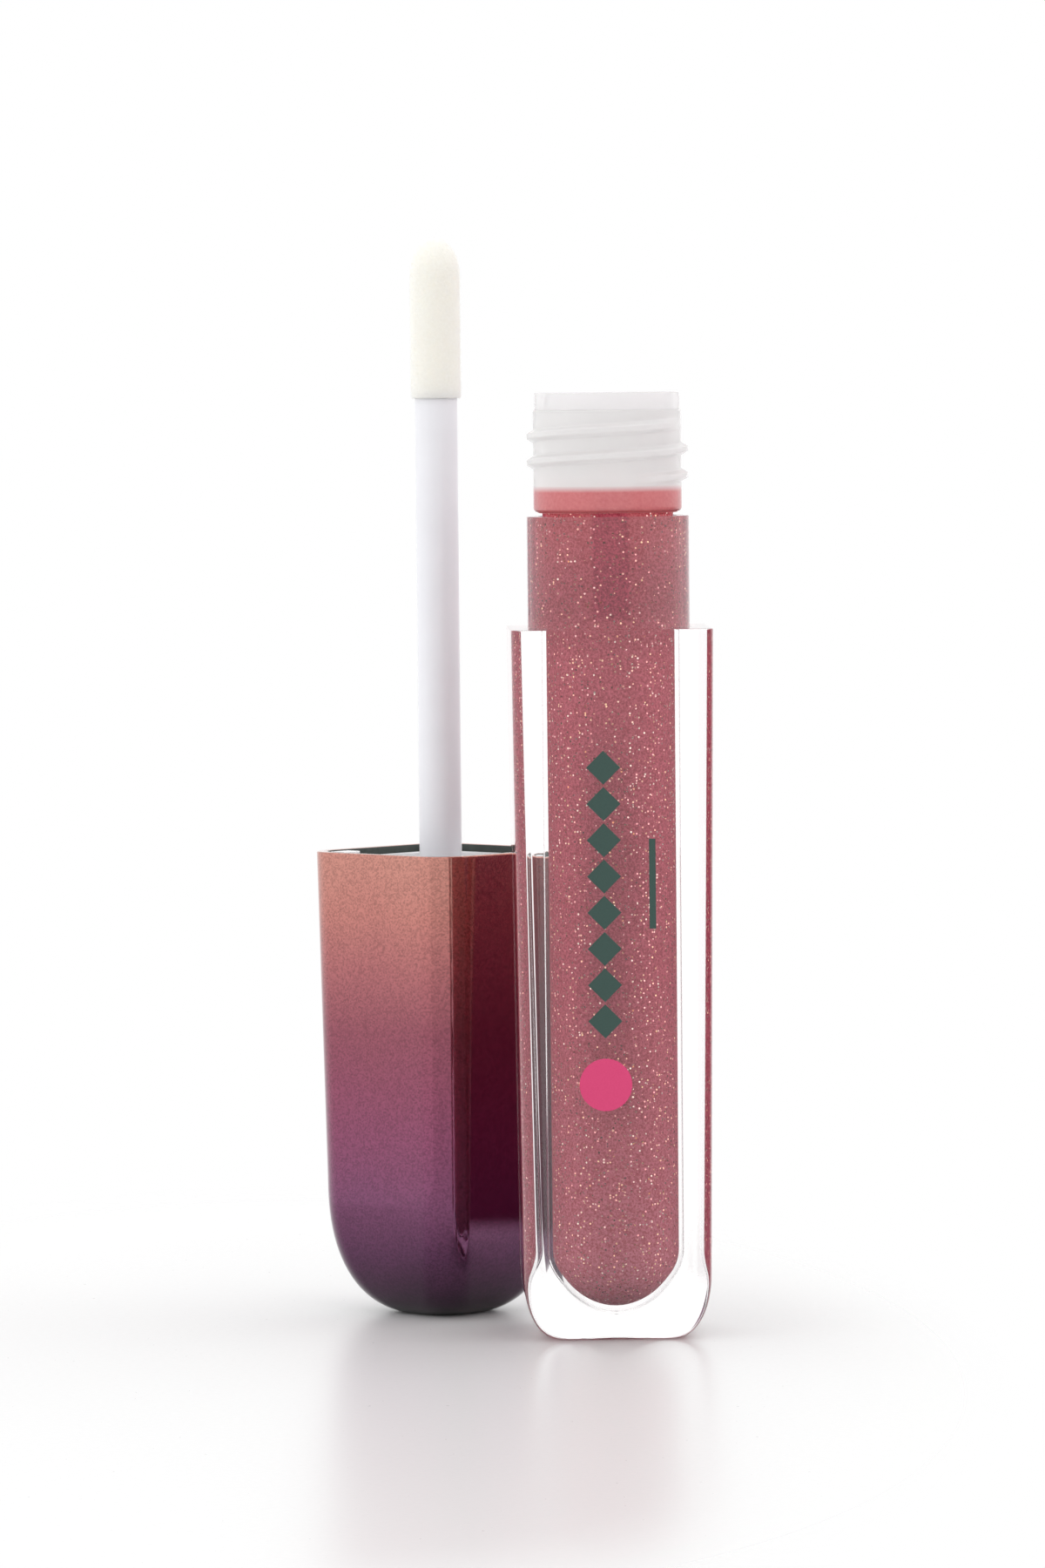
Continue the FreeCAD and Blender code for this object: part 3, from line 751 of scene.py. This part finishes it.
def floor_paper():
    """White paper that fades out round the object."""
    material, tree, shader = new_material("floor_white")
    where = place_in(tree)
    stretched = make(tree, "Mapping", Vector=where, Scale=(FLOOR_NARROW, 1.0, 1.0))
    away = vector(tree, "LENGTH", stretched.outputs["Vector"])
    fade = spread(tree, away.outputs["Value"], FLOOR_SOLID, FLOOR_GONE, curve="SMOOTHSTEP")
    grain = noise(tree, where, 0.6, 2.0)
    finish_shader(shader, Base_Color=mix(tree, grain, grey(0.8), grey(0.77)),
                  Roughness=mix_value(tree, grain, 0.25, 0.35), Specular_IOR_Level=0.5)
    clear = make(tree, "BsdfTransparent")
    blend = make(tree, "MixShader", Fac=fade)
    tree.links.new(shader.outputs[0], blend.inputs[1])
    tree.links.new(clear.outputs[0], blend.inputs[2])
    tree.links.new(blend.outputs[0], tree.nodes["Material Output"].inputs["Surface"])
    return material


def dress(target, *materials):
    """Gives an object its materials, slot by slot, and leaves the faces' slot numbers alone."""
    slots = target.data.materials
    for index, material in enumerate(materials):
        if index < len(slots):
            slots[index] = material
        else:
            slots.append(material)


# ---------------------------------------------------------------- build the bottle

outer_body = make_outer_body()
dress(outer_body, clear_plastic(), bonded_wall("body_bonded_wall", BONDED_INDEX))
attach(outer_body, "bottle")
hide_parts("outer_body")

vial = make_inner_bottle()
dress(vial, natural_plastic(), bonded_wall("vial_bonded_wall", EQUAL_INDEX))
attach(vial, "bottle")
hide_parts("inner_bottle")

gloss = make_gloss()
dress(gloss, pearl_gloss())
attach(gloss, "bottle")
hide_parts("gloss_fill")

dress(nodes["wiper"], wiper_plastic())
dress(nodes["print_lozenges"], print_ink("print_dark_green", colour(32, 60, 54),
                                         colour(44, 74, 66)))
dress(nodes["print_dot"], print_ink("print_rose", colour(205, 46, 104), colour(214, 62, 116)))

# ---------------------------------------------------------------- build the cap

shell = stand_as_cap(make_cap_shell())
dress(shell, cap_coating(), mouth_inside())
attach(shell, "cap")
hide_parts("cap_shell")

flock_low, flock_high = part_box("tip_flock")
flock_radius = (flock_high.x - flock_low.x) / 2 / MM
flock_foot = flock_low.z / MM
flock_top = flock_high.z / MM
tip_rings = [circle(radius, level) for radius, level in
             tip_profile(flock_radius - PILE, flock_foot, flock_top - PILE, TIP_FOOT_ROUND)]
tip = stand_as_cap(lattice("tip_base", tip_rings))
dress(tip, flock("flock_base", colour(237, 236, 230), colour(228, 226, 218)))
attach(tip, "cap")
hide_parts("tip_flock")

pile = stand_as_cap(make_pile(flock_radius, flock_foot, flock_top))
dress(pile, flock("flock_pile", colour(240, 239, 233), colour(232, 230, 223)))
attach(pile, "cap")

dress(nodes["cap_insert"], moulded_white("insert_white", colour(246, 246, 247),
                                         colour(236, 236, 239), 0.4, 0.35, 0.2, 1.2))
dress(nodes["wand_stem"], moulded_white("stem_white", colour(231, 231, 235),
                                        colour(226, 226, 230), 0.6, 0.28, 0.6, 1.0))
dress(nodes["tip_core"], moulded_white("tip_core_white", colour(245, 243, 238),
                                       colour(235, 232, 225), 0.3, 0.5, 0.2, 1.2))
dress(nodes["seal_ring"], seal_foam())

# ---------------------------------------------------------------- floor

# in metres from the floor's middle: where its fade starts and ends, and its edge
FLOOR_SOLID = 0.11
FLOOR_GONE = 0.16
FLOOR_HALF = 0.17
# in metres: where its middle lies
FLOOR_ASIDE = -0.03
FLOOR_FORWARD = -0.02
FLOOR_LEVEL = -0.02 * MM
# how many times sooner it fades to the sides than to the front and the back
FLOOR_NARROW = 2.4
floor_mesh = bpy.data.meshes.new("floor")
corners = [(-FLOOR_HALF, -FLOOR_HALF, 0), (FLOOR_HALF, -FLOOR_HALF, 0),
           (FLOOR_HALF, FLOOR_HALF, 0), (-FLOOR_HALF, FLOOR_HALF, 0)]
floor_mesh.from_pydata(corners, [], [(0, 1, 2, 3)])
floor = bpy.data.objects.new("floor", floor_mesh)
floor.location = (FLOOR_ASIDE, FLOOR_FORWARD, FLOOR_LEVEL)
bpy.context.collection.objects.link(floor)
dress(floor, floor_paper())

# ---------------------------------------------------------------- camera

CAMERA_DISTANCE = 0.722
CAMERA_HEIGHT = 0.0866
CAMERA_YAW = math.radians(2.3)
CAMERA_PAN = math.radians(-0.64)
CAMERA_PITCH = math.radians(2.852)
CAMERA_ROLL = math.radians(-0.57)
CAMERA_LENS = 180.6


def make_camera():
    """A long lens in front of the bottle, which it sees turned a little."""
    ahead = Vector((math.sin(CAMERA_YAW), math.cos(CAMERA_YAW), 0))
    heading = CAMERA_YAW + CAMERA_PAN
    look = Vector((math.sin(heading) * math.cos(CAMERA_PITCH),
                   math.cos(heading) * math.cos(CAMERA_PITCH), -math.sin(CAMERA_PITCH)))
    level = Vector((math.cos(heading), -math.sin(heading), 0))
    upright = level.cross(look)
    right = level * math.cos(CAMERA_ROLL) + upright * math.sin(CAMERA_ROLL)
    up = upright * math.cos(CAMERA_ROLL) - level * math.sin(CAMERA_ROLL)
    data = bpy.data.cameras.new("camera")
    data.lens = CAMERA_LENS
    data.clip_start = 0.01
    data.clip_end = 10
    camera = bpy.data.objects.new("camera", data)
    bpy.context.collection.objects.link(camera)
    turn = Matrix((right, up, -look)).transposed().to_4x4()
    camera.matrix_world = Matrix.Translation(-CAMERA_DISTANCE * ahead
                                             + Vector((0, 0, CAMERA_HEIGHT))) @ turn
    bpy.context.scene.camera = camera


make_camera()

# ---------------------------------------------------------------- light


# how bright the room is behind the bottle, at its left, in front, at its right, and overhead
BEHIND = grey(0.78)
LEFT = grey(0.86)
FRONT = grey(0.75)
RIGHT = grey(1.0)
CEILING = grey(0.9)
LIGHT_STRENGTH = 1.4
# the dark rose card at the right, and how high it reaches, as the sine of the angle up
CARD = (0.13, 0.012, 0.05, 1.0)
CARD_TOP = -0.035
CARD_FOOT = -0.35


def studio_world():
    """A white room with a dark rose card at the right, seen as plain white by the camera."""
    world = bpy.data.worlds.new("studio")
    world.use_nodes = True
    bpy.context.scene.world = world
    tree = world.node_tree
    direction = make(tree, "TexCoord").outputs["Generated"]
    turned = make(tree, "VectorRotate", Vector=direction, rotation_type="Z_AXIS",
                  Angle=CAMERA_YAW)
    split = make(tree, "SeparateXYZ", Vector=turned.outputs["Vector"])
    backward = calc(tree, "MULTIPLY", split.outputs["Y"], -1.0)
    azimuth = calc(tree, "ARCTAN2", split.outputs["X"], backward)
    # once round from straight behind the bottle, by the left, the camera at 0.5, and the right
    share = calc(tree, "ADD", calc(tree, "DIVIDE", azimuth, 2 * math.pi), 0.5)
    walls = ramp(tree, share, (0.0, BEHIND), (0.14, BEHIND), (0.142, LEFT), (0.392, LEFT),
                 (0.394, FRONT), (0.605, FRONT), (0.68, RIGHT), (0.86, RIGHT), (0.88, BEHIND),
                 (1.0, BEHIND))
    across = ramp(tree, share, (0.605, grey(0.0)), (0.612, grey(1.0)), (0.86, grey(1.0)),
                  (0.88, grey(0.0)))
    below = spread(tree, split.outputs["Z"], CARD_TOP, CARD_TOP - 0.01)
    above = spread(tree, split.outputs["Z"], CARD_FOOT - 0.1, CARD_FOOT)
    upright = calc(tree, "MULTIPLY", below, above)
    walls = mix(tree, calc(tree, "MULTIPLY", across, upright), walls, CARD)
    height = ramp(tree, split.outputs["Z"], (0.25, grey(0.0)), (0.7, grey(1.0)))
    room = mix(tree, height, walls, CEILING)
    lit = make(tree, "Background", Color=room, Strength=LIGHT_STRENGTH)
    plain = make(tree, "Background", Color=grey(1.0), Strength=1.0)
    path = make(tree, "LightPath")
    blend = make(tree, "MixShader", Fac=path.outputs["Is Camera Ray"])
    tree.links.new(lit.outputs[0], blend.inputs[1])
    tree.links.new(plain.outputs[0], blend.inputs[2])
    tree.links.new(blend.outputs[0], tree.nodes["World Output"].inputs["Surface"])


studio_world()
bpy.context.scene.view_settings.view_transform = "Standard"
